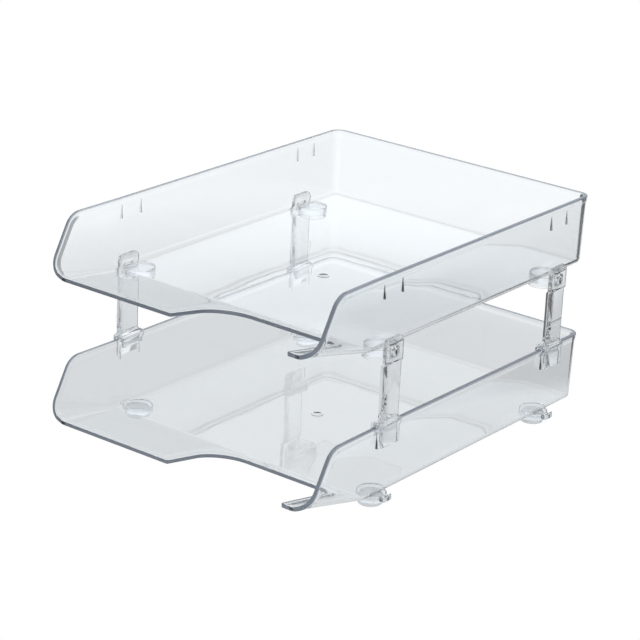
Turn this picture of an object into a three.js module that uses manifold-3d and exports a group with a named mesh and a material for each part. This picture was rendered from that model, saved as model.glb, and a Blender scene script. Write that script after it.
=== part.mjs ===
// Two-tier letter tray in clear polystyrene: two identical open-fronted trays for A4 paper, the upper
// one carried on four risers that straddle the rim of the lower one. Each tray has four round feet
// with a hook that points outwards. On the upper tray the hooks hold the riser heads. Under the lower
// tray each foot has a soft pad. Millimetres, +Z up, +X to the right of someone who faces the open
// front, +Y to the back. The origin is on the table, under the middle of the object.

import * as THREE from 'three';
import { mergeVertices } from 'three/addons/utils/BufferGeometryUtils.js';
import Module from 'manifold-3d';

const wasm = await Module();
wasm.setup();

// ---- Driving dimensions -------------------------------------------------------------------------

const TRAY_WIDTH = 254.2; // across the beads of the rim
const TRAY_LENGTH = 347.2; // front edge of the lip to the bead of the back rim
const TRAY_HEIGHT = 57; // underside of the floor to the rim
const TIER_PITCH = 115.5; // floor of the lower tray to floor of the upper tray
const WALL = 2.4; // thickness of the floor and the walls
const DRAFT = 1.5; // how far a wall leans outwards from the floor to the rim
const CORNER_RADIUS = 9; // back corners, seen from above, at the rim
const FOLD_RADIUS = 5.5; // outside radius between the floor and a wall
const LIP_FOLD_RADIUS = 18; // the same fold where it reaches the front edge
const LIP_DEPTH = 69; // how far the lip reaches in front of the bend in the floor
const LIP_RISE = 12.8; // how much higher the underside is at the front edge
const BEND_SOFTNESS = 6; // half length over which the bend in the floor is eased
const FLARE = 2; // how far the side walls open out towards the front edge
const FLARE_LENGTH = 90; // behind the front edge
const BEAD_PROUD = 0.8; // slight thickening on the outside of every free edge
const BEAD_HEIGHT = 3;
const BEAD_FADE = 4; // below the bead, over which it runs out into the wall
const GAP = 0.3; // left between pieces that touch

// Front edge of a side wall: level rim, round shoulder, straight slope, then a soft turn down into the
// lip.
const SHOULDER_SETBACK = 23.4; // where the slope, drawn on, would meet the rim, behind the front edge
const SLOPE_TILT = 29.3 * (Math.PI / 180); // from upright
const SHOULDER_RADIUS = 16;
const TOE_RADIUS = 8;

// Notch for the hand in the lip, right of the middle.
const NOTCH_LEFT = -6;
const NOTCH_RIGHT = 101;
const NOTCH_DEPTH = 60; // from the front edge
const NOTCH_LEFT_RADIUS = 27;
const NOTCH_RIGHT_RADIUS = 12;
const LEFT_TIP_RADIUS = 1.5; // corners of the lip where the notch leaves it
const RIGHT_TIP_RADIUS = 3;

// Risers, feet and ribs share two places along each side.
const STATIONS = [
  { name: 'front', y: -85 },
  { name: 'back', y: 128.8 },
];
const SIDES = ['left', 'right'];

const RIB_SPACING = 21.6;
const RIB_THICKNESS = 1.3;
const RIB_DEPTH = 2;
const RIB_TOP = 4; // below the rim
const RIB_LENGTH = 13;

const RISER_WIDTH = 21.8;
const RISER_THICKNESS = 2.5;
const RISER_CENTRE = 127.7; // middle of the plate, from the middle of the tray
const RISER_HEAD_STEP = 1.2; // how far the head stands outside the plate, to clear the foot
const RISER_HEAD_ABOVE = 9.3; // top of the head above the upper floor's underside
const RISER_HEAD_BELOW = 10.5;
const RISER_HEAD_RADIUS = 5;
const SHOULDER_WIDTH = 25.6; // saddle of the riser, over the rim
const SADDLE_RISE = 3.2; // saddle above the rim
const OUTER_LEG = 16; // leg below the rim, outside the wall
const INNER_LEG = 7; // and inside it
const LEG_THICKNESS = 2;
const WINDOW_WIDTH = 9.6;
const WINDOW_BELOW = 6.6; // window in the head, from below the upper floor's underside
const WINDOW_ABOVE = 2;

const FOOT_RADIUS = 12;
const FOOT_X = 115.3; // centre, from the middle of the tray
const LOWER_FOOT_HEIGHT = 6.2;
const UPPER_FOOT_HEIGHT = 9.6;
const FOOT_EDGE = 1.6; // rounding of the bottom edge
const PAD_RADIUS = 9.3;
const PAD_HEIGHT = 3.4;
const SOCKET_DEPTH = 3.6; // hollow under an upper foot, the size of a pad
const HOOK_WIDTH = 8;
const HOOK_TOP = 0.4; // below the floor's underside
const HOOK_THICKNESS = 3.6;
const HOOK_REACH = 131.5; // tip, from the middle of the tray
const BARB_LENGTH = 1;
const BARB_RISE = 1.4;

// ---- Worked out from them -----------------------------------------------------------------------

const RIM_X = TRAY_WIDTH / 2 - BEAD_PROUD; // outside of the wall at the rim
const FRONT = -TRAY_LENGTH / 2;
const BACK = TRAY_LENGTH / 2 - BEAD_PROUD;
const BEND = FRONT + LIP_DEPTH;
const LOWER_FLOOR = LOWER_FOOT_HEIGHT + PAD_HEIGHT; // underside of the lower tray above the table
const UPPER_FLOOR = LOWER_FLOOR + TIER_PITCH;

// ---- Materials ----------------------------------------------------------------------------------

function clearPlastic(colour) {
  return new THREE.MeshStandardMaterial({
    color: colour,
    roughness: 0.08,
    metalness: 0,
    transparent: true,
    opacity: 0.45,
  });
}

const trayPlastic = () => clearPlastic(0xd3dce0);
const riserPlastic = () => clearPlastic(0xc3ccd2);
const footPlastic = () => clearPlastic(0xaeb8c0);
const padRubber = () => new THREE.MeshStandardMaterial({ color: 0xc9ccd0, roughness: 0.45, metalness: 0 });

// ---- Solids -------------------------------------------------------------------------------------

function solidFrom(geometry) {
  const bare = geometry.clone();
  bare.deleteAttribute('normal');
  bare.deleteAttribute('uv');
  const merged = mergeVertices(bare, 1e-4);
  return new wasm.Manifold(new wasm.Mesh({
    numProp: 3,
    vertProperties: new Float32Array(merged.attributes.position.array),
    triVerts: new Uint32Array(merged.index.array),
  }));
}

function geometryFrom(solid) {
  const mesh = solid.getMesh();
  const geometry = new THREE.BufferGeometry();
  geometry.setAttribute('position', new THREE.BufferAttribute(new Float32Array(mesh.vertProperties), 3));
  geometry.setIndex(new THREE.BufferAttribute(new Uint32Array(mesh.triVerts), 1));
  geometry.computeVertexNormals();
  return geometry;
}

function block(x0, x1, y0, y1, z0, z1) {
  const box = new THREE.BoxGeometry(x1 - x0, y1 - y0, z1 - z0);
  box.translate((x0 + x1) / 2, (y0 + y1) / 2, (z0 + z1) / 2);
  return solidFrom(box);
}

// A shape drawn in X and Z, as thick as width along Y about the place y.
function slabAlongY(shape, y, width, curveSegments = 4) {
  const slab = new THREE.ExtrudeGeometry(shape, { depth: width, bevelEnabled: false, curveSegments });
  slab.rotateX(Math.PI / 2);
  slab.translate(0, y + width / 2, 0);
  return solidFrom(slab);
}

// A shape drawn in Y and Z, from x0 to x1.
function slabAlongX(shape, x0, x1, curveSegments = 4) {
  const slab = new THREE.ExtrudeGeometry(shape, { depth: x1 - x0, bevelEnabled: false, curveSegments });
  slab.rotateY(Math.PI / 2);
  slab.rotateX(Math.PI / 2);
  slab.translate(x0, 0, 0);
  return solidFrom(slab);
}

function polygon(points) {
  return new THREE.Shape(points.map(([a, b]) => new THREE.Vector2(a, b)));
}

function mirrored(geometry) {
  const other = geometry.clone();
  other.scale(-1, 1, 1);
  const index = other.index.array;
  for (let i = 0; i < index.length; i += 3) {
    [index[i], index[i + 1]] = [index[i + 1], index[i]];
  }
  other.computeVertexNormals();
  return other;
}

// ---- Tray ---------------------------------------------------------------------------------------

// How far a side wall has opened out at a place along it.
function flareAt(y) {
  const share = Math.max(0, 1 - (y - FRONT) / FLARE_LENGTH);
  return FLARE * share ** 2;
}

// Points down the front edge of a side wall, as [y, height of the wall's top], from the level rim to
// the lip.
function wallEdge() {
  const slopeY = Math.sin(SLOPE_TILT);
  const slopeZ = Math.cos(SLOPE_TILT);
  const shoulderTurn = Math.PI / 2 - SLOPE_TILT;
  const shoulderRun = SHOULDER_RADIUS * Math.tan(shoulderTurn / 2);
  const toeRun = TOE_RADIUS * Math.tan(SLOPE_TILT / 2);
  const cornerY = FRONT + SHOULDER_SETBACK;
  const toeHeight = TRAY_HEIGHT - (SHOULDER_SETBACK * slopeZ) / slopeY;
  const edge = new THREE.Path();
  edge.moveTo(cornerY + shoulderRun, TRAY_HEIGHT);
  edge.absarc(cornerY + shoulderRun, TRAY_HEIGHT - SHOULDER_RADIUS, SHOULDER_RADIUS,
    Math.PI / 2, Math.PI / 2 + shoulderTurn, false);
  edge.lineTo(FRONT + toeRun * slopeY, toeHeight + toeRun * slopeZ);
  edge.absarc(FRONT + TOE_RADIUS, toeHeight - toeRun, TOE_RADIUS, Math.PI - SLOPE_TILT, Math.PI, false);
  const seen = new Set();
  return edge.getPoints(4)
    .map((p) => [p.x, p.y])
    .filter(([y, z]) => {
      const key = `${y.toFixed(3)} ${z.toFixed(3)}`;
      const fresh = !seen.has(key);
      seen.add(key);
      return fresh;
    });
}

// Places along a side, from the front edge to the start of the back corner, with the wall's top and
// edge tilt.
function sideStations() {
  const edge = wallEdge().reverse();
  const stations = edge.map(([y, top], i) => {
    const [y1, top1] = edge[Math.min(i + 1, edge.length - 1)];
    const [y0, top0] = edge[Math.max(i - 1, 0)];
    return { y, top, tilt: Math.atan2(top1 - top0, y1 - y0) };
  });
  const easing = [BEND - 18, BEND - 8, BEND - 3, BEND, BEND + BEND_SOFTNESS];
  for (const y of easing.filter((place) => place > stations.at(-1).y + 1)) {
    stations.push({ y, top: TRAY_HEIGHT, tilt: 0 });
  }
  stations.push({ y: BACK - CORNER_RADIUS, top: TRAY_HEIGHT, tilt: 0 });
  return stations;
}

// How far along the lip a place is: 0 at the bend and behind it, 1 at the front edge.
function lipShare(y) {
  const d = Math.max(0, BEND + BEND_SOFTNESS - y);
  const full = LIP_DEPTH + BEND_SOFTNESS;
  const eased = (v) => Math.hypot(v, BEND_SOFTNESS) - BEND_SOFTNESS;
  return eased(d) / eased(full);
}

const FOLD_STEPS = 4;

// The section at one place, from the top of the wall down to the edge of the floor. Each point has its
// distance inside the rim and its height, for the outer and the inner face.
function section({ y, top, tilt }) {
  const share = lipShare(y);
  const under = LIP_RISE * share;
  const radius = FOLD_RADIUS + (LIP_FOLD_RADIUS - FOLD_RADIUS) * share;
  const foldTop = under + radius;
  const wallLength = Math.max(0, top - foldTop);
  const leanAt = (z) => (DRAFT * (TRAY_HEIGHT - z)) / TRAY_HEIGHT;
  const foldAngle = top >= foldTop ? Math.PI / 2 : Math.acos((foldTop - top) / radius);
  const length = wallLength + radius * foldAngle;
  const beadLength = Math.min(BEAD_HEIGHT / Math.max(0.25, Math.cos(tilt)), length * 0.5);
  const atFront = y < FRONT + BEAD_HEIGHT;

  const face = (travel, proud) => {
    const onWall = travel < wallLength;
    const angle = onWall ? Math.PI / 2 : (length - travel) / radius;
    const normal = [Math.sin(angle), -Math.cos(angle)];
    const height = onWall ? top - travel : foldTop - radius * Math.cos(angle);
    const inset = onWall ? leanAt(height) : leanAt(foldTop) + radius * (1 - Math.sin(angle));
    return {
      outer: [inset - normal[0] * proud, height + normal[1] * proud],
      inner: [inset + normal[0] * WALL, height - normal[1] * WALL],
    };
  };

  const rows = [face(0, BEAD_PROUD), face(beadLength, BEAD_PROUD)];
  const plain = atFront ? BEAD_PROUD : 0;
  const fadeEnd = Math.min(beadLength + BEAD_FADE, length * 0.7);
  rows.push(face(fadeEnd, plain));
  const start = Math.max(fadeEnd + 0.5, wallLength);
  for (let step = 0; step <= FOLD_STEPS; step += 1) {
    rows.push(face(start + ((length - start) * step) / FOLD_STEPS, plain));
  }
  return rows;
}

// The left half of the shell, column by column: along the side, then round the back corner.
function leftColumns(which) {
  const columns = sideStations().map((station) => section(station).map((row) => {
    const [inset, height] = row[which];
    return [-(RIM_X + flareAt(station.y) - inset), station.y, height];
  }));
  const cornerSteps = 4;
  const rows = section({ y: BACK - CORNER_RADIUS, top: TRAY_HEIGHT, tilt: 0 });
  for (let step = 1; step <= cornerSteps; step += 1) {
    const turn = (Math.PI / 2) * (step / cornerSteps);
    columns.push(rows.map((row) => {
      const [inset, height] = row[which];
      const reach = CORNER_RADIUS - inset;
      return [
        -(RIM_X - CORNER_RADIUS) - reach * Math.cos(turn),
        BACK - CORNER_RADIUS + reach * Math.sin(turn),
        height,
      ];
    }));
  }
  return columns;
}

function shell() {
  const positions = [];
  const index = [];
  const number = (columns) => columns.map((column) => column.map((point) => positions.push(point) - 1));
  const wholeRim = (which) => {
    const left = leftColumns(which);
    const right = left.map((column) => column.map(([x, y, z]) => [-x, y, z])).reverse();
    return number([...left, ...right]);
  };
  const outer = wholeRim('outer');
  const inner = wholeRim('inner');
  const last = outer.length - 1;
  const floorRow = outer[0].length - 1;
  const quad = (a, b, c, d) => index.push(a, c, b, a, d, c);

  for (let i = 0; i < last; i += 1) {
    for (let j = 0; j < floorRow; j += 1) {
      quad(outer[i][j], outer[i][j + 1], outer[i + 1][j + 1], outer[i + 1][j]);
      quad(inner[i][j], inner[i + 1][j], inner[i + 1][j + 1], inner[i][j + 1]);
    }
    quad(outer[i][0], outer[i + 1][0], inner[i + 1][0], inner[i][0]);
  }
  for (let i = 0; i < (last - 1) / 2; i += 1) {
    const far = last - i;
    quad(outer[i][floorRow], outer[far][floorRow], outer[far - 1][floorRow], outer[i + 1][floorRow]);
    quad(inner[i][floorRow], inner[i + 1][floorRow], inner[far - 1][floorRow], inner[far][floorRow]);
  }
  for (let j = 0; j < floorRow; j += 1) {
    quad(outer[0][j], inner[0][j], inner[0][j + 1], outer[0][j + 1]);
    quad(outer[last][j], outer[last][j + 1], inner[last][j + 1], inner[last][j]);
  }
  quad(outer[0][floorRow], inner[0][floorRow], inner[last][floorRow], outer[last][floorRow]);

  const geometry = new THREE.BufferGeometry();
  geometry.setAttribute('position', new THREE.Float32BufferAttribute(positions.flat(), 3));
  geometry.setIndex(index);
  return geometry;
}

// Upright prism that cuts the notch, with round tips where it leaves the front edge.
function notch() {
  const ahead = FRONT - 10;
  const end = FRONT + NOTCH_DEPTH;
  const leftTip = NOTCH_LEFT - LEFT_TIP_RADIUS;
  const rightTip = NOTCH_RIGHT + RIGHT_TIP_RADIUS;
  const cut = new THREE.Shape();
  cut.moveTo(leftTip, ahead);
  cut.lineTo(leftTip, FRONT);
  cut.absarc(leftTip, FRONT + LEFT_TIP_RADIUS, LEFT_TIP_RADIUS, -Math.PI / 2, 0, false);
  cut.absarc(NOTCH_LEFT + NOTCH_LEFT_RADIUS, end - NOTCH_LEFT_RADIUS, NOTCH_LEFT_RADIUS,
    Math.PI, Math.PI / 2, true);
  cut.absarc(NOTCH_RIGHT - NOTCH_RIGHT_RADIUS, end - NOTCH_RIGHT_RADIUS, NOTCH_RIGHT_RADIUS,
    Math.PI / 2, 0, true);
  cut.absarc(rightTip, FRONT + RIGHT_TIP_RADIUS, RIGHT_TIP_RADIUS, Math.PI, Math.PI * 1.5, false);
  cut.lineTo(rightTip, ahead);
  const prism = new THREE.ExtrudeGeometry(cut, { depth: 60, bevelEnabled: false, curveSegments: 6 });
  prism.translate(0, 0, -20);
  return solidFrom(prism);
}

// Wedge on the outside of a wall, nothing at its top and deepest at its lower end. Pairs of them guide
// a riser's leg.
function rib(y) {
  const root = RIM_X - DRAFT - 1;
  const face = (z) => RIM_X - (DRAFT * (TRAY_HEIGHT - z)) / TRAY_HEIGHT;
  const top = TRAY_HEIGHT - RIB_TOP;
  const low = top - RIB_LENGTH;
  return slabAlongY(polygon([[root, low], [face(low) + RIB_DEPTH, low], [face(top), top], [root, top]]),
    y, RIB_THICKNESS);
}

function trayGeometry() {
  let solid = solidFrom(shell()).subtract(notch());
  for (const { y } of STATIONS) {
    for (const share of [-0.5, 0.5]) {
      const right = rib(y + share * RIB_SPACING);
      const left = solidFrom(mirrored(geometryFrom(right)));
      solid = solid.add(right).add(left);
    }
  }
  return geometryFrom(solid);
}

// ---- Riser --------------------------------------------------------------------------------------

// A right-hand riser seen from the front, in X and Z, with z = 0 at the underside of the lower tray.
function riserProfile() {
  const rim = TRAY_HEIGHT;
  const floor = TIER_PITCH;
  const in0 = RISER_CENTRE - RISER_THICKNESS / 2;
  const out0 = RISER_CENTRE + RISER_THICKNESS / 2;
  const legOut = RIM_X + RIB_DEPTH + GAP + LEG_THICKNESS;
  const legIn = legOut - LEG_THICKNESS;
  const innerFace = RIM_X - WALL - GAP;
  const step = RISER_HEAD_STEP;
  const headFoot = floor - RISER_HEAD_BELOW;
  return polygon([
    [innerFace - LEG_THICKNESS, rim - INNER_LEG],
    [innerFace, rim - INNER_LEG],
    [innerFace, rim + GAP],
    [legIn, rim + GAP],
    [legIn, rim - OUTER_LEG],
    [legOut, rim - OUTER_LEG],
    [legOut, rim + SADDLE_RISE - 1.4],
    [legOut - 1, rim + SADDLE_RISE],
    [out0, rim + SADDLE_RISE + 1.5],
    [out0, headFoot - step],
    [out0 + step, headFoot],
    [out0 + step, floor + RISER_HEAD_ABOVE],
    [in0 + step, floor + RISER_HEAD_ABOVE],
    [in0 + step, headFoot + 0.6],
    [in0, headFoot - step + 0.6],
    [in0, rim + SADDLE_RISE + 1.5],
    [in0 - 1.5, rim + SADDLE_RISE],
    [innerFace - LEG_THICKNESS + 1.2, rim + SADDLE_RISE],
    [innerFace - LEG_THICKNESS, rim + SADDLE_RISE - 1.2],
  ]);
}

// The same riser seen from the side, in Y and Z, about its own middle.
function riserOutline() {
  const half = RISER_WIDTH / 2;
  const wide = SHOULDER_WIDTH / 2;
  const rim = TRAY_HEIGHT;
  const top = TIER_PITCH + RISER_HEAD_ABOVE;
  const outline = new THREE.Shape();
  outline.moveTo(-half, rim - OUTER_LEG);
  outline.lineTo(half, rim - OUTER_LEG);
  outline.lineTo(half, rim - 3);
  outline.lineTo(wide, rim - 1.5);
  outline.lineTo(wide, rim + 1.6);
  outline.lineTo(half, rim + SADDLE_RISE + 1);
  outline.lineTo(half, top - RISER_HEAD_RADIUS);
  outline.absarc(half - RISER_HEAD_RADIUS, top - RISER_HEAD_RADIUS, RISER_HEAD_RADIUS, 0, Math.PI / 2, false);
  outline.absarc(-half + RISER_HEAD_RADIUS, top - RISER_HEAD_RADIUS, RISER_HEAD_RADIUS,
    Math.PI / 2, Math.PI, false);
  outline.lineTo(-half, rim + SADDLE_RISE + 1);
  outline.lineTo(-wide, rim + 1.6);
  outline.lineTo(-wide, rim - 1.5);
  outline.lineTo(-half, rim - 3);
  return outline;
}

function riserGeometry() {
  const plate = slabAlongY(riserProfile(), 0, SHOULDER_WIDTH + 2);
  const outline = slabAlongX(riserOutline(), RIM_X - 20, RIM_X + 20, 5);
  const window = block(RIM_X - 4, RIM_X + 20, -WINDOW_WIDTH / 2, WINDOW_WIDTH / 2,
    TIER_PITCH - WINDOW_BELOW, TIER_PITCH + WINDOW_ABOVE);
  return geometryFrom(plate.intersect(outline).subtract(window));
}

// ---- Feet ---------------------------------------------------------------------------------------

// A right-hand foot with z = 0 at the tray's underside, about its own middle in Y.
function footGeometry(height, hasSocket) {
  const low = -height;
  const outline = [
    [0, low],
    [FOOT_RADIUS - FOOT_EDGE, low],
    [FOOT_RADIUS - FOOT_EDGE * 0.3, low + FOOT_EDGE * 0.3],
    [FOOT_RADIUS, low + FOOT_EDGE],
    [FOOT_RADIUS, -GAP],
    [0, -GAP],
  ];
  if (hasSocket) {
    const hollow = PAD_RADIUS + GAP;
    outline.splice(0, 1, [0, low + SOCKET_DEPTH], [hollow, low + SOCKET_DEPTH], [hollow, low]);
  }
  const round = new THREE.LatheGeometry(outline.map(([r, z]) => new THREE.Vector2(r, z)), 24);
  round.rotateX(Math.PI / 2);
  round.translate(FOOT_X, 0, 0);
  const hookTop = -HOOK_TOP;
  const hookLow = hookTop - HOOK_THICKNESS;
  const hook = slabAlongY(polygon([
    [FOOT_X + FOOT_RADIUS - 3, hookLow],
    [HOOK_REACH - 1, hookLow],
    [HOOK_REACH, hookLow + 1],
    [HOOK_REACH, hookTop + BARB_RISE - 0.4],
    [HOOK_REACH - 0.4, hookTop + BARB_RISE],
    [HOOK_REACH - BARB_LENGTH, hookTop + BARB_RISE],
    [HOOK_REACH - BARB_LENGTH, hookTop],
    [FOOT_X + FOOT_RADIUS - 3, hookTop],
  ]), 0, HOOK_WIDTH);
  return geometryFrom(solidFrom(round).add(hook));
}

function padGeometry() {
  const edge = 0.8;
  const low = -LOWER_FOOT_HEIGHT - PAD_HEIGHT;
  const high = -LOWER_FOOT_HEIGHT - GAP;
  const pad = new THREE.LatheGeometry([
    new THREE.Vector2(0, low),
    new THREE.Vector2(PAD_RADIUS - edge, low),
    new THREE.Vector2(PAD_RADIUS, low + edge),
    new THREE.Vector2(PAD_RADIUS, high),
    new THREE.Vector2(0, high),
  ], 24);
  pad.rotateX(Math.PI / 2);
  pad.translate(FOOT_X, 0, 0);
  return geometryFrom(solidFrom(pad));
}

// ---- Assembly -----------------------------------------------------------------------------------

const letterTray = new THREE.Group();
const lowerTier = new THREE.Group();
const upperTier = new THREE.Group();
lowerTier.position.z = LOWER_FLOOR;
upperTier.position.z = UPPER_FLOOR;
letterTray.add(lowerTier, upperTier);

function addPiece(parent, name, geometry, material) {
  const piece = new THREE.Mesh(geometry, material);
  piece.name = name;
  parent.add(piece);
  return piece;
}

function addAtEachStation(parent, base, rightHand, material, z = 0) {
  const handed = { left: mirrored(rightHand), right: rightHand };
  for (const station of STATIONS) {
    for (const side of SIDES) {
      const piece = addPiece(parent, `${base}_${station.name}_${side}`, handed[side], material());
      piece.position.set(0, station.y, z);
    }
  }
}

const tray = trayGeometry();
addPiece(lowerTier, 'lower_tray', tray, trayPlastic());
addPiece(upperTier, 'upper_tray', tray, trayPlastic());
addAtEachStation(lowerTier, 'lower_foot', footGeometry(LOWER_FOOT_HEIGHT, false), footPlastic);
addAtEachStation(lowerTier, 'foot_pad', padGeometry(), padRubber);
addAtEachStation(upperTier, 'upper_foot', footGeometry(UPPER_FOOT_HEIGHT, true), footPlastic);
addAtEachStation(upperTier, 'riser', riserGeometry(), riserPlastic, -TIER_PITCH);

export default letterTray;
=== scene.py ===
"""Looks of a two-tier letter tray in clear plastic: trays, risers, feet and pads, built round the
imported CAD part.

Lengths of pieces are in millimetres until a mesh is made. The stage and the camera are in metres.
Axes are those of the CAD part: +X to the right of someone who faces the open front, +Y to the
back, +Z up, with the origin on the table.
"""

import math

import bmesh
import bpy
from mathutils import Matrix, Vector
from mathutils.geometry import delaunay_2d_cdt


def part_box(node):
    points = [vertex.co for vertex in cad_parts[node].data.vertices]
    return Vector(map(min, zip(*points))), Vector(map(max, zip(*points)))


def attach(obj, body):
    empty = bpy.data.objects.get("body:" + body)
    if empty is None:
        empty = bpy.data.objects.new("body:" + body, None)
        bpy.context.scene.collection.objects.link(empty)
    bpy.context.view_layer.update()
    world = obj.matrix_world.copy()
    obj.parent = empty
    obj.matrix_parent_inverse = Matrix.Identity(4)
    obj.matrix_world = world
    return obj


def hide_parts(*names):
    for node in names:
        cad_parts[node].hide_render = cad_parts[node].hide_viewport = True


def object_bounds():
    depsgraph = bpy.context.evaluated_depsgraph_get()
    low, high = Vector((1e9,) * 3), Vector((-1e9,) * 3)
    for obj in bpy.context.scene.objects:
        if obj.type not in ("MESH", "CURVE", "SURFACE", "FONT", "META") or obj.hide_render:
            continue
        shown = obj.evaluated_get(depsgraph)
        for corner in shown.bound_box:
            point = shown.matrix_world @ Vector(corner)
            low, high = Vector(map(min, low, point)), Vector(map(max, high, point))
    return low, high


MM = 0.001
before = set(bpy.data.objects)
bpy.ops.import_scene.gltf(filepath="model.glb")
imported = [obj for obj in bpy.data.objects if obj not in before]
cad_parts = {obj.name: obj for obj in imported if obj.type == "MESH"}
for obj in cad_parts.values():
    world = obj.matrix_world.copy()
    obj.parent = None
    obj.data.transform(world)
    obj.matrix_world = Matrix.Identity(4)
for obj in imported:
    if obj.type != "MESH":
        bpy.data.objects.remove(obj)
bounds_at_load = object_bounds()


def box_mm(node):
    low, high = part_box(node)
    return low / MM, high / MM


def middle_y(node):
    low, high = box_mm(node)
    return (low.y + high.y) / 2


# ---- Tray: sizes ---------------------------------------------------------------------------------

tray_low, tray_high = box_mm("lower_tray")
upper_low = box_mm("upper_tray")[0]
FRONT = tray_low.y
HEIGHT = tray_high.z - tray_low.z
BEAD_PROUD = 0.8
BACK = tray_high.y - BEAD_PROUD
RIM_X = 126.3  # outside of the wall at the rim, under the bead
WALL = 2.4
DRAFT = 1.5
CORNER_RADIUS = 9
FOLD_RADIUS = 5.5
LIP_FOLD_RADIUS = 18
LIP_DEPTH = 69
LIP_RISE = 12.8
BEND_SOFTNESS = 3  # half of what the CAD part has, for a crisper line across the lip
BEND = FRONT + LIP_DEPTH
FLARE = 2
FLARE_LENGTH = 90
BEAD_WIDTH = 2.2
BEAD_FOOT = 7.0  # where the bead has run out into the wall
EDGE_ROUND = 0.6
EDGE_SHADE_REACH = 1.5  # distance from a free edge at which its painted shade, a darker colour, has run out

SHOULDER_SETBACK = 23.4
SLOPE_TILT = math.radians(29.3)
SHOULDER_RADIUS = 16
TOE_RADIUS = 8

NOTCH_LEFT = -6
NOTCH_RIGHT = 101
NOTCH_DEPTH = 60
NOTCH_LEFT_RADIUS = 27
NOTCH_RIGHT_RADIUS = 12
LEFT_TIP_RADIUS = 1.5
RIGHT_TIP_RADIUS = 3

RIB_SPACING = 21.6
RIB_FOOT = 2.2  # width at the wall
RIB_CREST = 0.6
RIB_DEPTH = 2
RIB_TOP = 4
RIB_LENGTH = 13

# Distances from a free edge at which the section changes: round the edge, then across the bead.
ROUND_STEPS = [share * EDGE_ROUND for share in (0, 0.05, 0.2, 0.5, 1)]
EDGE_STEPS = ROUND_STEPS + [1.6, BEAD_WIDTH, 3.4, 4.6, 5.8, BEAD_FOOT]


# ---- Meshes --------------------------------------------------------------------------------------


def mesh_object(name, points, faces, smooth_angle=32, edge_shade_weights=None):
    """An object from points in millimetres, welded, with its faces turned outwards."""
    mesh = bpy.data.meshes.new(name)
    mesh.from_pydata([Vector(p) * MM for p in points], [], faces)
    # Per-point weights of the painted edge shade, kept as a mesh attribute.
    if edge_shade_weights:
        mesh.attributes.new("painted_edge_shade", "FLOAT", "POINT").data.foreach_set("value", edge_shade_weights)
    work = bmesh.new()
    work.from_mesh(mesh)
    bmesh.ops.remove_doubles(work, verts=work.verts, dist=1e-6)
    bmesh.ops.dissolve_degenerate(work, edges=work.edges, dist=1e-7)
    bmesh.ops.recalc_face_normals(work, faces=work.faces)
    work.to_mesh(mesh)
    work.free()
    obj = bpy.data.objects.new(name, mesh)
    bpy.context.scene.collection.objects.link(obj)
    shade(obj, smooth_angle)
    return obj


def shade(obj, smooth_angle):
    for polygon in obj.data.polygons:
        polygon.use_smooth = True
    obj.data.set_sharp_from_angle(angle=math.radians(smooth_angle))


def settle(obj):
    """Turns an object's modifiers into its mesh."""
    graph = bpy.context.evaluated_depsgraph_get()
    mesh = bpy.data.meshes.new_from_object(obj.evaluated_get(graph))
    mesh.name = obj.name
    obj.modifiers.clear()
    obj.data = mesh
    return obj


def combine(obj, others, operation):
    for other in others:
        modifier = obj.modifiers.new("join", "BOOLEAN")
        modifier.operation = operation
        modifier.solver = "MANIFOLD"
        modifier.object = other
    settle(obj)
    for other in others:
        bpy.data.objects.remove(other)
    return obj


def soften(obj, width, segments=2, limit=38):
    """Rounds the sharp edges of an object."""
    modifier = obj.modifiers.new("soft edges", "BEVEL")
    modifier.width = width * MM
    modifier.segments = segments
    modifier.limit_method = "ANGLE"
    modifier.angle_limit = math.radians(limit)
    modifier.use_clamp_overlap = True
    settle(obj)
    shade(obj, 40)
    return obj


def prism(name, outline, place, start, end):
    """A solid with a plane outline: place turns an outline point and a depth into a point in space."""
    count = len(outline)
    points = [place(a, b, depth) for depth in (start, end) for a, b in outline]
    faces = [list(range(count)), list(range(2 * count - 1, count - 1, -1))]
    for i in range(count):
        j = (i + 1) % count
        faces.append([i, j, count + j, count + i])
    return mesh_object(name, points, faces)


def lathe(name, outline, centre, segments=64):
    """A solid of revolution about an upright axis, from an outline of (radius, height) points that
    runs from axis to axis."""
    cx, cy = centre
    points = []
    faces = []
    rings = []
    for radius, height in outline:
        if radius < 1e-6:
            points.append((cx, cy, height))
            rings.append([len(points) - 1] * segments)
            continue
        ring = []
        for k in range(segments):
            turn = 2 * math.pi * k / segments
            points.append((cx + radius * math.cos(turn), cy + radius * math.sin(turn), height))
            ring.append(len(points) - 1)
        rings.append(ring)
    for lower, upper in zip(rings, rings[1:]):
        for k in range(segments):
            j = (k + 1) % segments
            face = []
            for index in (lower[k], lower[j], upper[j], upper[k]):
                if index not in face:
                    face.append(index)
            if len(face) > 2:
                faces.append(face)
    return mesh_object(name, points, faces)


# ---- Tray: shape ---------------------------------------------------------------------------------

SIN_TILT = math.sin(SLOPE_TILT)
COS_TILT = math.cos(SLOPE_TILT)
SHOULDER_RUN = SHOULDER_RADIUS * math.tan((math.pi / 2 - SLOPE_TILT) / 2)
TOE_RUN = TOE_RADIUS * math.tan(SLOPE_TILT / 2)
SHOULDER_Y = FRONT + SHOULDER_SETBACK + SHOULDER_RUN
SHOULDER_Z = HEIGHT - SHOULDER_RADIUS
TOE_Y = FRONT + TOE_RADIUS
TOE_Z = HEIGHT - SHOULDER_SETBACK / math.tan(SLOPE_TILT) - TOE_RUN


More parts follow.
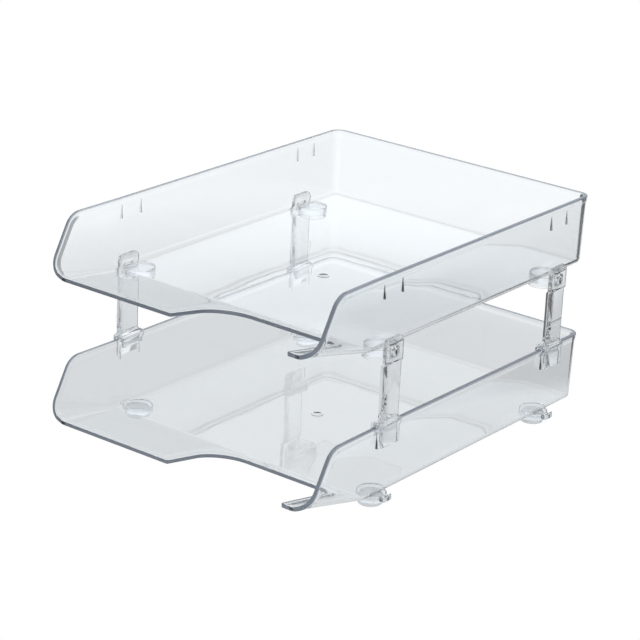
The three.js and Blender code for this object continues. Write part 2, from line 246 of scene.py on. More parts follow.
def wall_top(y, inset=0):
    """Height of the side wall's edge at a place, or of a line that runs inset inside that edge."""
    if y >= SHOULDER_Y:
        return HEIGHT - inset
    radius = SHOULDER_RADIUS - inset
    if y >= SHOULDER_Y - radius * COS_TILT:
        return SHOULDER_Z + math.sqrt(max(0, radius**2 - (SHOULDER_Y - y) ** 2))
    toe = TOE_RADIUS - inset
    if y <= TOE_Y - toe * COS_TILT:
        return TOE_Z + math.sqrt(max(0, toe**2 - min(toe, TOE_Y - y) ** 2))
    slope_y = TOE_Y - toe * COS_TILT
    slope_z = TOE_Z + toe * SIN_TILT
    return slope_z + (y - slope_y) / math.tan(SLOPE_TILT)


def edge_distance(y, z):
    """How far a place on a side wall is from the wall's free edge."""
    if y >= SHOULDER_Y:
        return HEIGHT - z
    slope_y = TOE_Y - TOE_RADIUS * COS_TILT
    slope_z = TOE_Z + TOE_RADIUS * SIN_TILT
    slope = (y - slope_y) * COS_TILT - (z - slope_z) * SIN_TILT
    across = (SHOULDER_Y - y, z - SHOULDER_Z)
    if across[1] > 0 and across[0] * SIN_TILT < across[1] * COS_TILT:
        return SHOULDER_RADIUS - math.hypot(*across)
    if z <= TOE_Z:
        return y - FRONT
    across = (TOE_Y - y, z - TOE_Z)
    if across[0] > 0 and across[1] * COS_TILT < across[0] * SIN_TILT:
        return TOE_RADIUS - math.hypot(*across)
    return slope


def lip_share(y):
    """0 behind the bend in the floor, 1 at the front edge."""

    def eased(v):
        return math.hypot(v, BEND_SOFTNESS) - BEND_SOFTNESS

    return eased(max(0, BEND + BEND_SOFTNESS - y)) / eased(LIP_DEPTH + BEND_SOFTNESS)


def underside(y):
    return LIP_RISE * lip_share(y)


def proud(distance):
    """How far the outer face stands out of the plain wall at a distance from the free edge."""
    share = min(1, max(0, (BEAD_FOOT - distance) / (BEAD_FOOT - BEAD_WIDTH)))
    return BEAD_PROUD * share**2 * (3 - 2 * share) - rounding(distance)


def rounding(distance):
    if distance >= EDGE_ROUND:
        return 0
    share = 1 - max(0, distance) / EDGE_ROUND
    return EDGE_ROUND * (1 - math.sqrt(1 - share**2))


def edge_shade_weight(distance):
    """1 on a free edge, which gets painted shade that makes it darker and less clear, and 0 on the plain
    wall.
    """
    return min(1, max(0, (EDGE_SHADE_REACH - distance) / (EDGE_SHADE_REACH - EDGE_ROUND)))


def flare(y):
    return FLARE * max(0, 1 - (y - FRONT) / FLARE_LENGTH) ** 2


def lean(z):
    return DRAFT * (HEIGHT - z) / HEIGHT


FOLD_STEPS = 12
WALL_STEPS = 3


def section(y):
    """The wall's section at a place along the side, from its top to the floor: points
    (inset, height) on the outer face, and the same on the inner face."""
    share = lip_share(y)
    top = wall_top(y)
    radius = FOLD_RADIUS + (LIP_FOLD_RADIUS - FOLD_RADIUS) * share
    fold_top = LIP_RISE * share + radius
    wall = max(0, top - fold_top)
    angle = math.pi / 2 if top >= fold_top else math.acos((fold_top - top) / radius)
    length = wall + radius * angle

    def travel_to(z):
        """Distance down the face from the top to a height."""
        if z >= fold_top or z > top:
            return max(0, top - z)
        turned = math.acos(max(-1, min(1, (fold_top - z) / radius)))
        return wall + radius * (angle - turned)

    travels = []
    for step in EDGE_STEPS:
        z = wall_top(y, step) if y >= FRONT + step else min(TOE_Z, top)
        least = travels[-1] + 0.05 if travels else 0
        travels.append(max(least, travel_to(z)))
    bead_end = travels[-1]
    bend = max(bead_end + 0.3, wall)
    for step in range(1, WALL_STEPS + 1):
        travels.append(bead_end + (bend - bead_end) * step / WALL_STEPS)
    for step in range(1, FOLD_STEPS + 1):
        travels.append(bend + (length - bend) * step / FOLD_STEPS)

    outer = []
    inner = []
    for travel in travels:
        on_wall = travel < wall
        turn = math.pi / 2 if on_wall else max(0, (length - travel) / radius)
        z = top - travel if on_wall else fold_top - radius * math.cos(turn)
        inset = lean(z) if on_wall else lean(fold_top) + radius * (1 - math.sin(turn))
        distance = edge_distance(y, z)
        out = proud(distance)
        deep = WALL - rounding(distance)
        outer.append((inset - out * math.sin(turn), z - out * math.cos(turn)))
        inner.append((inset + deep * math.sin(turn), z + deep * math.cos(turn)))
    return outer, inner


def side_places():
    """Places along a side, from the front edge to the start of the back corner."""
    places = [FRONT + step for step in EDGE_STEPS]
    slope_end = SHOULDER_Y - SHOULDER_RADIUS * COS_TILT
    places += [BEAD_FOOT + FRONT + (slope_end - BEAD_FOOT - FRONT) * k / 8 for k in range(1, 9)]
    for k in range(1, 11):
        turn = SLOPE_TILT + (math.pi / 2 - SLOPE_TILT) * k / 10
        places.append(SHOULDER_Y - SHOULDER_RADIUS * math.cos(turn))
    bend_end = BEND + BEND_SOFTNESS
    bend_start = BEND - BEND_SOFTNESS
    places += [SHOULDER_Y + (bend_start - SHOULDER_Y) * k / 14 for k in range(1, 15)]
    places += [bend_start + (bend_end - bend_start) * k / 10 for k in range(1, 11)]
    start = BACK - CORNER_RADIUS
    places += [bend_end + (start - bend_end) * k / 6 for k in range(1, 7)]
    return places


def corner_columns(rows):
    """The section carried round the left back corner."""
    steps = 14
    columns = []
    for step in range(1, steps + 1):
        turn = math.pi / 2 * step / steps
        column = []
        for inset, z in rows:
            reach = CORNER_RADIUS - inset
            x = -(RIM_X - CORNER_RADIUS) - reach * math.cos(turn)
            column.append((x, BACK - CORNER_RADIUS + reach * math.sin(turn), z))
        columns.append(column)
    return columns


def notch_line(distance, reach_left, reach_right):
    """The lip's free edge seen from above, from left to right, or a line that runs distance inside it."""
    left = max(0.05, LEFT_TIP_RADIUS - distance)
    right = max(0.05, RIGHT_TIP_RADIUS - distance)
    end = FRONT + NOTCH_DEPTH
    left_curve = NOTCH_LEFT + NOTCH_LEFT_RADIUS
    right_curve = NOTCH_RIGHT - NOTCH_RIGHT_RADIUS
    line = []

    def straight(a, b, count):
        for k in range(count):
            line.append((a[0] + (b[0] - a[0]) * k / count, a[1] + (b[1] - a[1]) * k / count))

    def arc(cx, cy, radius, a0, a1, count):
        for k in range(count):
            turn = a0 + (a1 - a0) * k / count
            line.append((cx + radius * math.cos(turn), cy + radius * math.sin(turn)))

    quarter = math.pi / 2
    edge = FRONT + distance
    x0 = NOTCH_LEFT - distance
    x1 = NOTCH_RIGHT + distance
    straight((reach_left, edge), (x0 - left, edge), 12)
    arc(x0 - left, edge + left, left, -quarter, 0, 6)
    straight((x0, edge + left), (x0, end - NOTCH_LEFT_RADIUS), 8)
    arc(left_curve, end - NOTCH_LEFT_RADIUS, NOTCH_LEFT_RADIUS + distance, math.pi, quarter, 20)
    straight((left_curve, end + distance), (right_curve, end + distance), 8)
    arc(right_curve, end - NOTCH_RIGHT_RADIUS, NOTCH_RIGHT_RADIUS + distance, quarter, 0, 14)
    straight((x1, end - NOTCH_RIGHT_RADIUS), (x1, edge + right), 12)
    arc(x1 + right, edge + right, right, math.pi, math.pi + quarter, 6)
    straight((x1 + right, edge), (reach_right, edge), 3)
    line.append((reach_right, edge))
    return line


def floor_patch(edge_x, places):
    """Triangles that fill the floor between the bead of the lip and the bend, as points seen from above."""
    lip = notch_line(BEAD_FOOT, -edge_x[BEAD_FOOT + FRONT], edge_x[BEAD_FOOT + FRONT])
    inside = [y for y in places if y > FRONT + BEAD_FOOT + 0.01]
    outline = list(lip)
    outline += [(edge_x[y], y) for y in inside]
    back = inside[-1]
    across = 24
    for k in range(1, across):
        outline.append((edge_x[back] * (1 - 2 * k / across), back))
    outline += [(-edge_x[y], y) for y in reversed(inside)]
    ring = len(outline)
    points = [Vector(p) for p in outline]
    for y in inside[:-1]:
        for k in range(1, across):
            x = edge_x[y] * (1 - 2 * k / across)
            clear_left = x < NOTCH_LEFT - BEAD_FOOT - 2
            clear_right = x > NOTCH_RIGHT + BEAD_FOOT + 2
            if clear_left or clear_right or y > FRONT + NOTCH_DEPTH + BEAD_FOOT + 0.8:
                points.append(Vector((x, y)))
    edges = [(i, (i + 1) % ring) for i in range(ring)]
    found = delaunay_2d_cdt(points, edges, [], 1, 1e-5)
    return [tuple(p) for p in found[0]], [list(f) for f in found[2]]


def tray_mesh(name):
    places = side_places()
    sections = {y: section(y) for y in places}
    halves = []
    for which in (0, 1):
        columns = []
        for y in places:
            columns.append([(-(RIM_X + flare(y) - inset), y, z) for inset, z in sections[y][which]])
        columns += corner_columns(sections[places[-1]][which])
        halves.append(columns)
    edge_x = {y: -halves[0][i][-1][0] for i, y in enumerate(places)}

    points = []
    faces = []
    # Per-point weights of the painted shade on free edges.
    weights = []

    def number(columns, edge_shade_rows):
        start = len(points)
        rows = len(columns[0])
        for column in columns:
            points.extend(column)
            weights.extend(edge_shade_weight(EDGE_STEPS[row]) if row < edge_shade_rows else 0 for row in range(rows))
        return [[start + i * rows + j for j in range(rows)] for i in range(len(columns))]

    def whole(columns, edge_shade_rows):
        """Columns of a left half and, mirrored, of the right half."""
        return number(columns + [[(-x, y, z) for x, y, z in c] for c in reversed(columns)], edge_shade_rows)

    outer = whole(halves[0], len(EDGE_STEPS))
    inner = whole(halves[1], 2)
    last = len(outer) - 1
    rows = len(outer[0])
    for i in range(last):
        for j in range(rows - 1):
            faces.append([outer[i][j], outer[i][j + 1], outer[i + 1][j + 1], outer[i + 1][j]])
            faces.append([inner[i][j], inner[i + 1][j], inner[i + 1][j + 1], inner[i][j + 1]])
        faces.append([outer[i][0], outer[i + 1][0], inner[i + 1][0], inner[i][0]])
    for j in range(rows - 1):
        faces.append([outer[0][j], inner[0][j], inner[0][j + 1], outer[0][j + 1]])
        faces.append([outer[last][j], outer[last][j + 1], inner[last][j + 1], inner[last][j]])

    floor_start = next(i for i, y in enumerate(places) if y >= BEND + BEND_SOFTNESS - 0.01)
    front_places = places[: floor_start + 1]
    across = 24
    middle = (last - 1) // 2
    for columns in (outer, inner):
        rows_across = []
        for i in range(floor_start, middle + 1):
            a = Vector(points[columns[i][-1]])
            b = Vector(points[columns[last - i][-1]])
            start = len(points)
            points.extend([tuple(a.lerp(b, k / across)) for k in range(across + 1)])
            rows_across.append(start)
        for s0, s1 in zip(rows_across, rows_across[1:]):
            for k in range(across):
                faces.append([s0 + k, s0 + k + 1, s1 + k + 1, s1 + k])
        final = rows_across[-1]
        back_row = [columns[middle][-1]] + [final + k for k in range(1, across)] + [columns[middle + 1][-1]]
        faces.append(back_row)

    weights += [0] * (len(points) - len(weights))
    flat, triangles = floor_patch(edge_x, front_places)
    for side in (0, 1):
        start = len(points)
        for x, y in flat:
            lift = WALL if side else 0
            points.append((x, y, underside(y) + lift))
            weights.append(0)
        faces += [[start + k for k in triangle] for triangle in triangles]

    lines = [notch_line(step, -edge_x[FRONT + step], edge_x[FRONT + step]) for step in EDGE_STEPS]
    for side in (0, 1):
        starts = []
        for step, line in zip(EDGE_STEPS, lines):
            starts.append(len(points))
            lift = WALL - rounding(step) if side else -proud(step)
            points.extend([(x, y, underside(y) + lift) for x, y in line])
            weights.extend([edge_shade_weight(step) if side == 0 or step < EDGE_STEPS[2] else 0] * len(line))
        for s0, s1 in zip(starts, starts[1:]):
            for k in range(len(lines[0]) - 1):
                faces.append([s0 + k, s0 + k + 1, s1 + k + 1, s1 + k])
        if side == 0:
            lower_edge = starts[0]
    for k in range(len(lines[0]) - 1):
        faces.append([lower_edge + k, lower_edge + k + 1, starts[0] + k + 1, starts[0] + k])
    return mesh_object(name, points, faces, edge_shade_weights=weights)


STATIONS = {station: middle_y(f"riser_{station}_right") for station in ("front", "back")}


def rib(y, side):
    """A ridge outside the wall under the rim, with a narrow crest, deepest at its lower end."""
    top = HEIGHT - RIB_TOP
    low = top - RIB_LENGTH
    root = RIM_X - DRAFT - 0.9
    points = []
    for z, crest in ((low, RIM_X - lean(low) + RIB_DEPTH), (top, RIM_X - lean(top) + 0.1)):
        points.append((side * root, y - RIB_FOOT / 2, z))
        points.append((side * root, y + RIB_FOOT / 2, z))
        points.append((side * crest, y + RIB_CREST / 2, z))
        points.append((side * crest, y - RIB_CREST / 2, z))
    faces = [[0, 1, 2, 3], [7, 6, 5, 4], [0, 4, 5, 1], [1, 5, 6, 2], [2, 6, 7, 3], [3, 7, 4, 0]]
    return mesh_object("rib", points, faces)


GATE_RADIUS = 4.8
GATE_RISE = 0.2
GATE_RING = 1.1  # width of the flat top of its ring
GATE_CENTRE_RISE = 0.08
GATE_PLACE = (1, -4)  # of the round mark that the moulding gate leaves in the floor


def gate_mark():
    outline = [
        (0, WALL - 1),
        (GATE_RADIUS, WALL - 1),
        (GATE_RADIUS, WALL + GATE_RISE - 0.2),
        (GATE_RADIUS - 0.25, WALL + GATE_RISE),
        (GATE_RADIUS - GATE_RING, WALL + GATE_RISE),
        (GATE_RADIUS - GATE_RING - 0.4, WALL + GATE_CENTRE_RISE),
        (0, WALL + GATE_CENTRE_RISE),
    ]
    return lathe("gate", outline, GATE_PLACE, 48)


def tray(name, base):
    obj = tray_mesh(name)
    extra = [gate_mark()]
    for y in STATIONS.values():
        for share in (-0.5, 0.5):
            for side in (-1, 1):
                extra.append(rib(y + share * RIB_SPACING, side))
    combine(obj, extra, "UNION")
    obj.data.transform(Matrix.Translation((0, 0, base * MM)))
    shade(obj, 32)
    return obj


# ---- Risers --------------------------------------------------------------------------------------

PITCH = upper_low.z - tray_low.z
GAP = 0.3
RISER_THICKNESS = 2.5
RISER_CENTRE = 127.7
RISER_HEAD_STEP = 1.2
RISER_HEAD_BELOW = 10.5
RISER_HEAD_RADIUS = 5
SADDLE_RISE = 3.2
OUTER_LEG = 16
INNER_LEG = 7
LEG_THICKNESS = 2
RISER_WIDTH = 21.8
SHOULDER_WIDTH = 25.6
WINDOW_WIDTH = 9.6
WINDOW_BELOW = 6.6
WINDOW_ABOVE = 2


def arc_points(cx, cy, radius, start, end, count=6):
    points = []
    for k in range(count + 1):
        turn = start + (end - start) * k / count
        points.append((cx + radius * math.cos(turn), cy + radius * math.sin(turn)))
    return points


def riser_section():
    """A right-hand riser seen from the front, with z = 0 at the underside of the lower tray."""
    head_top = riser_head_top()
    in0 = RISER_CENTRE - RISER_THICKNESS / 2
    out0 = RISER_CENTRE + RISER_THICKNESS / 2
    leg_out = RIM_X + RIB_DEPTH + GAP + LEG_THICKNESS
    leg_in = leg_out - LEG_THICKNESS
    inner_face = RIM_X - WALL - GAP
    step = RISER_HEAD_STEP
    foot = PITCH - RISER_HEAD_BELOW
    saddle = HEIGHT + SADDLE_RISE
    quarter = math.pi / 2
    outline = [
        (inner_face - LEG_THICKNESS, HEIGHT - INNER_LEG),
        (inner_face - 0.5, HEIGHT - INNER_LEG),
        (inner_face, HEIGHT - INNER_LEG + 1),
        (inner_face, HEIGHT + GAP),
        (leg_in, HEIGHT + GAP),
        (leg_in, HEIGHT - OUTER_LEG + 1),
        (leg_in + 0.5, HEIGHT - OUTER_LEG),
        (leg_out, HEIGHT - OUTER_LEG),
    ]
    outline += arc_points(leg_out - 1.2, saddle - 1.2, 1.2, 0, quarter, 4)
    outline += [(out0 + 0.3, saddle + 0.3), (out0, saddle + 1.2), (out0, foot - step)]
    outline += [(out0 + step, foot), (out0 + step, head_top), (in0 + step, head_top)]
    outline += [(in0 + step, foot + 0.6), (in0, foot - step + 0.6), (in0, saddle + 1.5)]
    outline += list(reversed(arc_points(in0 - 1.5, saddle + 1.5, 1.5, -quarter, 0, 4)))
    outline += arc_points(inner_face - LEG_THICKNESS + 1.2, saddle - 1.2, 1.2, quarter, math.pi, 4)
    return outline


def riser_head_top():
    return box_mm("riser_front_right")[1].z - tray_low.z


def riser_outline():
    """The same riser seen from the side, about its own middle."""
    half = RISER_WIDTH / 2
    wide = SHOULDER_WIDTH / 2
    top = riser_head_top()
    radius = RISER_HEAD_RADIUS
    saddle = HEIGHT + SADDLE_RISE
    quarter = math.pi / 2
    right = [
        (half - 1, HEIGHT - OUTER_LEG - 1),
        (half, HEIGHT - OUTER_LEG + 1),
        (half, HEIGHT - 3),
        (wide, HEIGHT - 1.5),
        (wide, HEIGHT + 1.6),
        (half + 0.5, saddle),
        (half, saddle + 1.4),
    ]
    right += arc_points(half - radius, top - radius, radius, 0, quarter, 10)
    return right + [(-a, b) for a, b in reversed(right)]


def riser(name, y, side):
    plate = prism(name, riser_section(), lambda a, b, d: (side * a, y + d, b), -20, 20)
    seen = prism("outline", riser_outline(), lambda a, b, d: (side * d, y + a, b), RIM_X - 20, RIM_X + 20)
    half = WINDOW_WIDTH / 2
    low = PITCH - WINDOW_BELOW
    high = PITCH + WINDOW_ABOVE
    opening = [(-half, low), (half, low), (half, high), (-half, high)]
    window = prism("window", opening, lambda a, b, d: (side * d, y + a, b), RIM_X - 4, RIM_X + 20)
    combine(plate, [seen], "INTERSECT")
    combine(plate, [window], "DIFFERENCE")
    plate.data.transform(Matrix.Translation((0, 0, tray_low.z * MM)))
    return soften(plate, 0.6, 3)


# ---- Feet and pads -------------------------------------------------------------------------------

FOOT_X = 115.3
FOOT_RADIUS = 12
PAD_RADIUS = 9.3
SOCKET_DEPTH = 3.6
HOOK_WIDTH = 8
HOOK_TOP = 0.4
HOOK_THICKNESS = 3.6
HOOK_REACH = 131.5
BARB_LENGTH = 1
BARB_RISE = 1.4


def foot(name, node, under, side, has_socket):
    """A round foot under a tray whose underside is at the height under."""
    y = middle_y(node)
    quarter = math.pi / 2
    bottom = box_mm(node)[0].z
    edge = 1.6
    outline = [(0, bottom)]
    if has_socket:
        hollow = PAD_RADIUS + GAP
        ceiling = bottom + SOCKET_DEPTH
        outline = [(0, ceiling), (hollow - 0.4, ceiling), (hollow, ceiling - 0.4)]
        outline += [(hollow, bottom + 0.4), (hollow + 0.3, bottom)]
    outline += arc_points(FOOT_RADIUS - edge, bottom + edge, edge, -quarter, 0, 6)
    outline += [(FOOT_RADIUS, under - GAP - 0.3), (FOOT_RADIUS - 0.3, under - GAP), (0, under - GAP)]
    body = lathe(name, outline, (side * FOOT_X, y), 72)
    top = under - HOOK_TOP
    base = top - HOOK_THICKNESS
    root = FOOT_X + FOOT_RADIUS - 3
    shape = [(root, base)]
    shape += arc_points(HOOK_REACH - 1, base + 1, 1, -quarter, 0, 4)
    shape += [
        (HOOK_REACH, top + BARB_RISE - 0.4),
        (HOOK_REACH - 0.4, top + BARB_RISE),
        (HOOK_REACH - BARB_LENGTH, top + BARB_RISE),
        (HOOK_REACH - BARB_LENGTH, top),
        (root, top),
    ]
    half = HOOK_WIDTH / 2
    hook = prism("hook", shape, lambda a, b, d: (side * a, y + d, b), -half, half)
    combine(body, [hook], "UNION")
    shade(body, 35)
    return body


def pad(name, node):
    low, high = box_mm(node)
    centre = ((low.x + high.x) / 2, (low.y + high.y) / 2)
    edge = 0.9
    quarter = math.pi / 2
    outline = [(0, low.z)]
    outline += arc_points(PAD_RADIUS - edge, low.z + edge, edge, -quarter, 0, 6)
    outline += [(PAD_RADIUS, high.z - 0.2), (PAD_RADIUS - 0.2, high.z), (0, high.z)]
    return lathe(name, outline, centre, 72)


# ---- Materials -----------------------------------------------------------------------------------


def node_value(nodes, kind, **values):
    node = nodes.new(kind)
    for key, value in values.items():
        node.inputs[key.replace("_", " ")].default_value = value
    return node


def clear_plastic(name, colour, clearness, absorption, waviness):
    """Moulded clear polystyrene: a trace of haze, faint waves in the surface, and a blue-grey tint
    that shows where light runs along a panel. Free edges get painted shade, darker and less clear, which
    stands in for the dark look that light running along the panel gives them."""
    material = bpy.data.materials.new(name)
    material.use_nodes = True
    nodes = material.node_tree.nodes
    links = material.node_tree.links
    shader = nodes["Principled BSDF"]
    shader.inputs["Roughness"].default_value = 0.015
    shader.inputs["IOR"].default_value = 1.59
    # Painted edge shade: a darker colour and less clearness on free edges.
    at_edge = nodes.new("ShaderNodeAttribute")
    at_edge.attribute_name = "painted_edge_shade"
    tint = nodes.new("ShaderNodeMix")
    tint.data_type = "RGBA"
    tint.inputs["A"].default_value = colour
    tint.inputs["B"].default_value = EDGE_SHADE_COLOUR
    links.new(at_edge.outputs["Fac"], tint.inputs["Factor"])
    links.new(tint.outputs["Result"], shader.inputs["Base Color"])
    clear = nodes.new("ShaderNodeMapRange")
    clear.inputs["To Min"].default_value = clearness
    clear.inputs["To Max"].default_value = EDGE_SHADE_CLEARNESS
    links.new(at_edge.outputs["Fac"], clear.inputs["Value"])
    links.new(clear.outputs["Result"], shader.inputs["Transmission Weight"])
    place = nodes.new("ShaderNodeTexCoord")
    noise = node_value(nodes, "ShaderNodeTexNoise", Scale=WAVE_SCALE, Detail=1.5)
    bump = node_value(nodes, "ShaderNodeBump", Strength=waviness, Distance=0.001)
    links.new(place.outputs["Object"], noise.inputs["Vector"])
    links.new(noise.outputs["Fac"], bump.inputs["Height"])
    links.new(bump.outputs["Normal"], shader.inputs["Normal"])
    volume = node_value(nodes, "ShaderNodeVolumeAbsorption", Color=SLATE, Density=absorption)
    output = nodes["Material Output"]
    links.new(volume.outputs["Volume"], output.inputs["Volume"])
    return material


def rubber(name, colour):
    material = bpy.data.materials.new(name)
    material.use_nodes = True
    nodes = material.node_tree.nodes
    links = material.node_tree.links
    shader = nodes["Principled BSDF"]
    shader.inputs["Base Color"].default_value = colour
    shader.inputs["Roughness"].default_value = 0.4
    shader.inputs["IOR"].default_value = 1.5
    shader.inputs["Transmission Weight"].default_value = 0.6
    place = nodes.new("ShaderNodeTexCoord")
    grain = node_value(nodes, "ShaderNodeTexNoise", Scale=GRAIN_SCALE, Detail=3)
    bump = node_value(nodes, "ShaderNodeBump", Strength=0.15, Distance=0.0002)
    links.new(place.outputs["Object"], grain.inputs["Vector"])
    links.new(grain.outputs["Fac"], bump.inputs["Height"])
    links.new(bump.outputs["Normal"], shader.inputs["Normal"])
    return material


SLATE = (0.46, 0.53, 0.62, 1)  # what is left of white light after a long way through the plastic
# Painted shade on free edges: a darker colour and less clearness, standing in for the dark look that light
# running along a panel gives an edge.
EDGE_SHADE_COLOUR = (0.36, 0.4, 0.47, 1)  # of a free edge
EDGE_SHADE_CLEARNESS = 0.45
WAVE_SCALE = 22  # of the moulded surface's faint waves: their number in about a metre
GRAIN_SCALE = 900  # of the rubber's fine grain, in the same way
tray_plastic = clear_plastic("tray_clear", (0.985, 0.99, 0.995, 1), 0.993, 8, 0.12)
riser_plastic = clear_plastic("riser_clear", (0.98, 0.985, 0.99, 1), 0.993, 5, 0.08)
foot_plastic = clear_plastic("foot_clear", (0.98, 0.985, 0.99, 1), 0.98, 4, 0.05)
pad_rubber = rubber("pad_rubber", (0.88, 0.9, 0.92, 1))


def dress(obj, material, node, body):
    obj.data.materials.clear()
    obj.data.materials.append(material)
    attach(obj, body)
    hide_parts(node)


# ---- Assembly ------------------------------------------------------------------------------------

dress(tray("lower_tray_clear", tray_low.z), tray_plastic, "lower_tray", "lower_tier")
dress(tray("upper_tray_clear", upper_low.z), tray_plastic, "upper_tray", "upper_tier")
for station, y in STATIONS.items():
    for side_name, side in (("left", -1), ("right", 1)):
        place = f"{station}_{side_name}"
        lower = foot(f"lower_foot_clear_{place}", f"lower_foot_{place}", tray_low.z, side, False)
        dress(lower, foot_plastic, f"lower_foot_{place}", "lower_tier")
        upper = foot(f"upper_foot_clear_{place}", f"upper_foot_{place}", upper_low.z, side, True)
        dress(upper, foot_plastic, f"upper_foot_{place}", "upper_tier")
        soft = pad(f"foot_pad_soft_{place}", f"foot_pad_{place}")
        dress(soft, pad_rubber, f"foot_pad_{place}", "lower_tier")
        post = riser(f"riser_clear_{place}", y, side)
        dress(post, riser_plastic, f"riser_{place}", "upper_tier")

# ---- Stage ---------------------------------------------------------------------------------------

scene = bpy.context.scene
scene.view_settings.view_transform = "Standard"
scene.view_settings.look = "None"
for name, value in (
    ("max_bounces", 32),
    ("transmission_bounces", 32),
    ("glossy_bounces", 16),
    ("transparent_max_bounces", 16),
):
    setattr(scene.cycles, name, value)


def visible_white(nodes, links, seen_by_others):
    """Plain white where the camera looks straight at the stage. The object is lit by
    seen_by_others, and shows that in its reflections and through its walls."""
    path = nodes.new("ShaderNodeLightPath")
    choose = nodes.new("ShaderNodeMix")
    choose.data_type = "RGBA"
    links.new(path.outputs["Is Camera Ray"], choose.inputs["Factor"])
    links.new(seen_by_others, choose.inputs["A"])
    choose.inputs["B"].default_value = (1, 1, 1, 1)
    return choose.outputs["Result"]


def tinted(level):
    return tuple(level * share for share in STUDIO_TINT) + (1,)


def colour_ramp(nodes, links, value, stops):
    ramp = nodes.new("ShaderNodeValToRGB")
    links.new(value, ramp.inputs["Fac"])
    elements = ramp.color_ramp.elements
    for element, (position, level) in zip(elements, (stops[0], stops[-1])):
        element.position = position
        element.color = tinted(level)
    for position, level in stops[1:-1]:
        element = elements.new(position)
        element.color = tinted(level)
    return ramp.outputs["Color"]


STUDIO_TINT = (0.955, 0.982, 1)
TABLE_REACH = 12  # metres from the middle to each side of the table
TABLE_NEAR = 0.74  # brightness of the table under the object, where it stands in its own soft shadow
TABLE_FAR = 1.06
SHADOW_REACH = (0.24, 0.62)  # metres from the object's middle over which that shadow fades out
TABLE_SIDES = 0.4  # brightness of the table to the left and the right of the lit strip
FLAG_SHADE_LEVEL = 0.3  # brightness of the painted shade, as of a dark flag, to the right of the strip, behind the object
FLAG_SHADE_START = (-0.25, -0.05)  # metres along the strip over which that painted shade begins
STRIP_EDGE = (0.218, 0.262)  # metres from the middle of the strip over which its light falls away
STRIP_SPREAD = 1.9  # metres in front of the object to the point that the strip widens from
STRIP_ACROSS = (0.793, 0.609, 0)
SWEEP_DIRECTION = (-0.609, 0.793, 0)  # from the camera's side to the bright sweep behind the object
SWEEP_FADE = (0.75, 0.45)  # sines of the elevations between which the sweep comes in, downwards
# Brightness of the studio by direction round the object: 0 in front, 0.5 to the side, 1 behind.
AROUND = [(0.0, 0.9), (0.3, 0.6), (0.7, 0.5), (0.92, 0.9), (1.0, 1.0)]
# Brightness of the studio by height: 0 straight down, 0.5 level, 1 straight up.
UPWARD = [(0.0, 0.8), (0.5, 0.62), (0.57, 0.8), (0.66, 1.22), (0.8, 0.6), (0.88, 1.3), (1.0, 1.4)]


def calculated(nodes, links, operation, *values):
    """The result of a Math node. Each value is a socket or a plain number."""
    node = nodes.new("ShaderNodeMath")
    node.operation = operation
    for socket, value in zip(node.inputs, values):
        if isinstance(value, (int, float)):
            socket.default_value = value
        else:
            links.new(value, socket)
    return node.outputs["Value"]


def reach_along(nodes, links, vector, direction):
    """How far a vector reaches in a direction."""
    node = nodes.new("ShaderNodeVectorMath")
    node.operation = "DOT_PRODUCT"
    node.inputs[1].default_value = direction
    links.new(vector, node.inputs[0])
    return node.outputs["Value"]


def around(nodes, links, vector):
    """Brightness of the studio in a horizontal direction: dimmer to both sides of the sweep."""
    flat = nodes.new("ShaderNodeVectorMath")
    flat.operation = "MULTIPLY"
    flat.inputs[1].default_value = (1, 1, 0)
    links.new(vector, flat.inputs[0])
    unit = nodes.new("ShaderNodeVectorMath")
    unit.operation = "NORMALIZE"
    links.new(flat.outputs["Vector"], unit.inputs[0])
    agree = reach_along(nodes, links, unit.outputs["Vector"], SWEEP_DIRECTION)
    half = nodes.new("ShaderNodeMapRange")
    half.inputs["From Min"].default_value = -1
    links.new(agree, half.inputs["Value"])
    return colour_ramp(nodes, links, half.outputs["Result"], AROUND)


def smooth_range(nodes, links, value, start_end, levels):
    """Goes softly from one level to the other while a value goes from start to end."""
    node = nodes.new("ShaderNodeMapRange")
    node.interpolation_type = "SMOOTHSTEP"
    node.inputs["From Min"].default_value, node.inputs["From Max"].default_value = start_end
    node.inputs["To Min"].default_value, node.inputs["To Max"].default_value = levels
    links.new(value, node.inputs["Value"])
    return node.outputs["Result"]


def multiplied(nodes, links, first, second, factor=None):
    mix = nodes.new("ShaderNodeMix")
    mix.data_type = "RGBA"
    mix.blend_type = "MULTIPLY"
    mix.inputs["Factor"].default_value = 1
    links.new(first, mix.inputs["A"])
    links.new(second, mix.inputs["B"])
    if factor:
        links.new(factor, mix.inputs["Factor"])
    return mix.outputs["Result"]


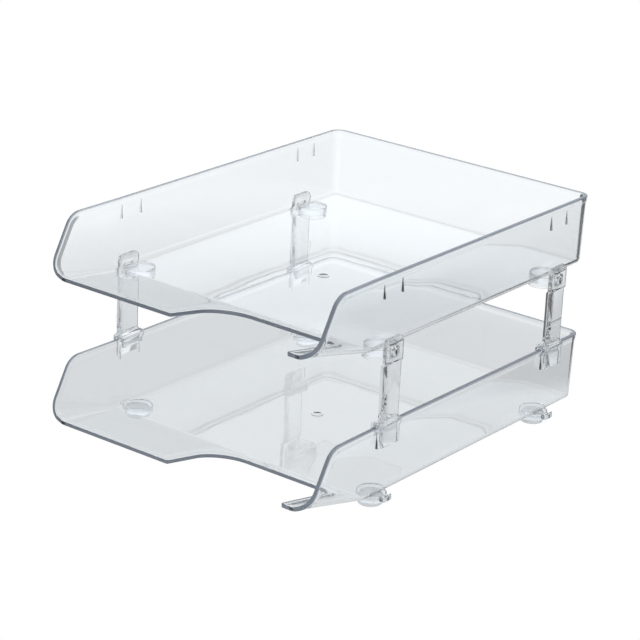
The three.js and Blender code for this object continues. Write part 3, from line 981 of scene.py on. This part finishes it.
def table_material():
    """A table that glows, with painted light and shade on it: a bright strip that widens to the back, a
    painted soft shadow round the object, dimmer sides, and painted shade as of a dark flag on the right
    behind the object."""
    material = bpy.data.materials.new("white_table_painted_shade")
    material.use_nodes = True
    nodes = material.node_tree.nodes
    links = material.node_tree.links
    nodes.remove(nodes["Principled BSDF"])
    place = nodes.new("ShaderNodeTexCoord").outputs["Object"]
    far = nodes.new("ShaderNodeVectorMath")
    far.operation = "LENGTH"
    links.new(place, far.inputs[0])
    share = smooth_range(nodes, links, far.outputs["Value"], SHADOW_REACH, (0, 1))
    light = colour_ramp(nodes, links, share, [(0.0, TABLE_NEAR), (1.0, TABLE_FAR)])

    across = reach_along(nodes, links, place, STRIP_ACROSS)
    along = reach_along(nodes, links, place, SWEEP_DIRECTION)
    widened = calculated(nodes, links, "MULTIPLY_ADD", along, 1 / STRIP_SPREAD, 1)
    scaled = calculated(nodes, links, "DIVIDE", across, calculated(nodes, links, "MAXIMUM", widened, 1))
    aside = calculated(nodes, links, "ABSOLUTE", scaled)
    strip = smooth_range(nodes, links, aside, STRIP_EDGE, (1, TABLE_SIDES))
    light = multiplied(nodes, links, light, strip)

    # Painted shade, as of a dark flag, on the right of the strip behind the object.
    flag_shade_across = smooth_range(nodes, links, scaled, STRIP_EDGE, (0, 1))
    flag_shade_along = smooth_range(nodes, links, along, FLAG_SHADE_START, (0, 1 - FLAG_SHADE_LEVEL))
    flag = calculated(nodes, links, "MULTIPLY", flag_shade_across, flag_shade_along)
    light = multiplied(nodes, links, light, calculated(nodes, links, "SUBTRACT", 1, flag))

    emission = nodes.new("ShaderNodeEmission")
    links.new(visible_white(nodes, links, light), emission.inputs["Color"])
    links.new(emission.outputs["Emission"], nodes["Material Output"].inputs["Surface"])
    return material


def light_studio(world):
    """The room round the object: the sweep low behind it, a soft box overhead, and dimmer sides."""
    world.use_nodes = True
    nodes = world.node_tree.nodes
    links = world.node_tree.links
    direction = nodes.new("ShaderNodeTexCoord").outputs["Generated"]
    split = nodes.new("ShaderNodeSeparateXYZ")
    links.new(direction, split.inputs["Vector"])
    upward = nodes.new("ShaderNodeMapRange")
    upward.inputs["From Min"].default_value = -1
    links.new(split.outputs["Z"], upward.inputs["Value"])
    by_height = colour_ramp(nodes, links, upward.outputs["Result"], UPWARD)
    low_down = nodes.new("ShaderNodeMapRange")
    low_down.inputs["From Min"].default_value, low_down.inputs["From Max"].default_value = SWEEP_FADE
    links.new(split.outputs["Z"], low_down.inputs["Value"])
    by_side = around(nodes, links, direction)
    studio = multiplied(nodes, links, by_height, by_side, low_down.outputs["Result"])
    links.new(visible_white(nodes, links, studio), nodes["Background"].inputs["Color"])


floor_mesh = bpy.data.meshes.new("floor")
quadrants = ((-1, -1), (1, -1), (1, 1), (-1, 1))
corners = [(TABLE_REACH * x, TABLE_REACH * y, 0) for x, y in quadrants]
floor_mesh.from_pydata(corners, [], [(0, 1, 2, 3)])
floor_mesh.materials.append(table_material())
floor = bpy.data.objects.new("floor", floor_mesh)
scene.collection.objects.link(floor)

scene.world = bpy.data.worlds.new("studio")
light_studio(scene.world)

# ---- Camera --------------------------------------------------------------------------------------

AZIMUTH = math.radians(37.49)
ELEVATION = math.radians(20.67)
ROLL = math.radians(2.53)
DISTANCE = 1.9077
LENS = 138.65
AIM = Vector((0, -0.0046, -0.0002))  # from the middle of the object's box to where the camera aims

low, high = bounds_at_load
middle = (Vector(low) + Vector(high)) / 2
target = middle + AIM
back = Vector((
    math.sin(AZIMUTH) * math.cos(ELEVATION),
    -math.cos(AZIMUTH) * math.cos(ELEVATION),
    math.sin(ELEVATION),
))
right = Vector((math.cos(AZIMUTH), math.sin(AZIMUTH), 0))
up = back.cross(right)
rolled_right = right * math.cos(ROLL) + up * math.sin(ROLL)
rolled_up = up * math.cos(ROLL) - right * math.sin(ROLL)
turn = Matrix((rolled_right, rolled_up, back)).transposed().to_4x4()
camera_data = bpy.data.cameras.new("camera")
camera_data.lens = LENS
camera_data.sensor_width = 36
camera = bpy.data.objects.new("camera", camera_data)
camera.matrix_world = Matrix.Translation(target + back * DISTANCE) @ turn
scene.collection.objects.link(camera)
scene.camera = camera
